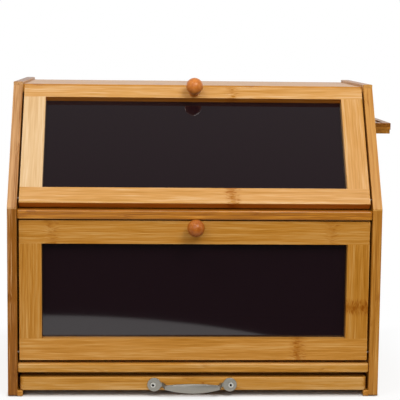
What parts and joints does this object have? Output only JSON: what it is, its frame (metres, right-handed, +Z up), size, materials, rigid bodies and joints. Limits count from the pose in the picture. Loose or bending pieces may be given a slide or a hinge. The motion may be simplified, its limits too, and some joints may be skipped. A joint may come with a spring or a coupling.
{
  "type": "bread box",
  "caption": "Tiered bamboo bread box with windowed drop-down doors, a pull-out cutting board below and a slotted knife bar on one side.",
  "frame": {"origin": "under the middle of the whole object's box, on the surface that it stands on", "axes": "+X to the right seen from the front, +Y from the doors to the back, +Z up"},
  "size_m": [0.42, 0.2748, 0.3413],
  "materials": {
    "bamboo_carcass": "clear satin lacquer over laminated bamboo strips, honey brown",
    "bamboo_doors": "clear satin lacquer over laminated bamboo strips, pale honey",
    "bamboo_board": "oiled laminated bamboo",
    "turned_wood": "turned and lacquered reddish hardwood",
    "smoked_acrylic": "cast sheet, smoked, polished",
    "brushed_steel": "brushed along its length, satin",
    "screw_steel": "zinc plated, bright",
    "pin_steel": "plain ground steel",
    "nickel_magnet": "nickel plated"
  },
  "bodies": {
    "carcass": {"left_side_panel": "bamboo_carcass", "right_side_panel": "bamboo_carcass", "top_board": "bamboo_carcass", "middle_shelf": "bamboo_carcass", "bottom_panel": "bamboo_carcass", "back_panel": "bamboo_carcass", "rear_rail": "bamboo_carcass", "left_runner": "bamboo_carcass", "right_runner": "bamboo_carcass", "knife_bar": "bamboo_carcass", "upper_left_pivot_pin": "pin_steel", "upper_right_pivot_pin": "pin_steel", "lower_left_pivot_pin": "pin_steel", "lower_right_pivot_pin": "pin_steel", "left_side_screws": "screw_steel", "right_side_screws": "screw_steel", "knife_bar_screws": "screw_steel", "upper_door_magnets": "nickel_magnet", "upper_door_left_catch_block": "bamboo_carcass", "upper_door_right_catch_block": "bamboo_carcass", "lower_door_magnets": "nickel_magnet", "lower_door_left_catch_block": "bamboo_carcass", "lower_door_right_catch_block": "bamboo_carcass"},
    "upper_door": {"upper_door_bottom_rail": "bamboo_doors", "upper_door_top_rail": "bamboo_doors", "upper_door_left_stile": "bamboo_doors", "upper_door_right_stile": "bamboo_doors", "upper_door_pane": "smoked_acrylic", "upper_door_knob": "turned_wood", "upper_door_knob_screw": "screw_steel", "upper_door_strike_discs": "nickel_magnet"},
    "lower_door": {"lower_door_bottom_rail": "bamboo_doors", "lower_door_top_rail": "bamboo_doors", "lower_door_left_stile": "bamboo_doors", "lower_door_right_stile": "bamboo_doors", "lower_door_pane": "smoked_acrylic", "lower_door_knob": "turned_wood", "lower_door_knob_screw": "screw_steel", "lower_door_strike_discs": "nickel_magnet"},
    "pull_out_board": {"pull_out_board": "bamboo_board", "pull_handle": "brushed_steel", "pull_handle_screws": "screw_steel"}
  },
  "joints": [
    {"name": "upper_door_hinge", "type": "hinge", "parent": "carcass", "child": "upper_door", "pos_m": [-0.01, -0.10373, 0.21318], "axis": [1, 0, 0], "range_deg": [0, 140]},
    {"name": "lower_door_hinge", "type": "hinge", "parent": "carcass", "child": "lower_door", "pos_m": [-0.01, -0.1081, 0.047], "axis": [1, 0, 0], "range_deg": [0, 88]},
    {"name": "board_slide", "type": "slide", "parent": "carcass", "child": "pull_out_board", "axis": [0, -1, 0], "range_m": [0, 0.2]}
  ]
}
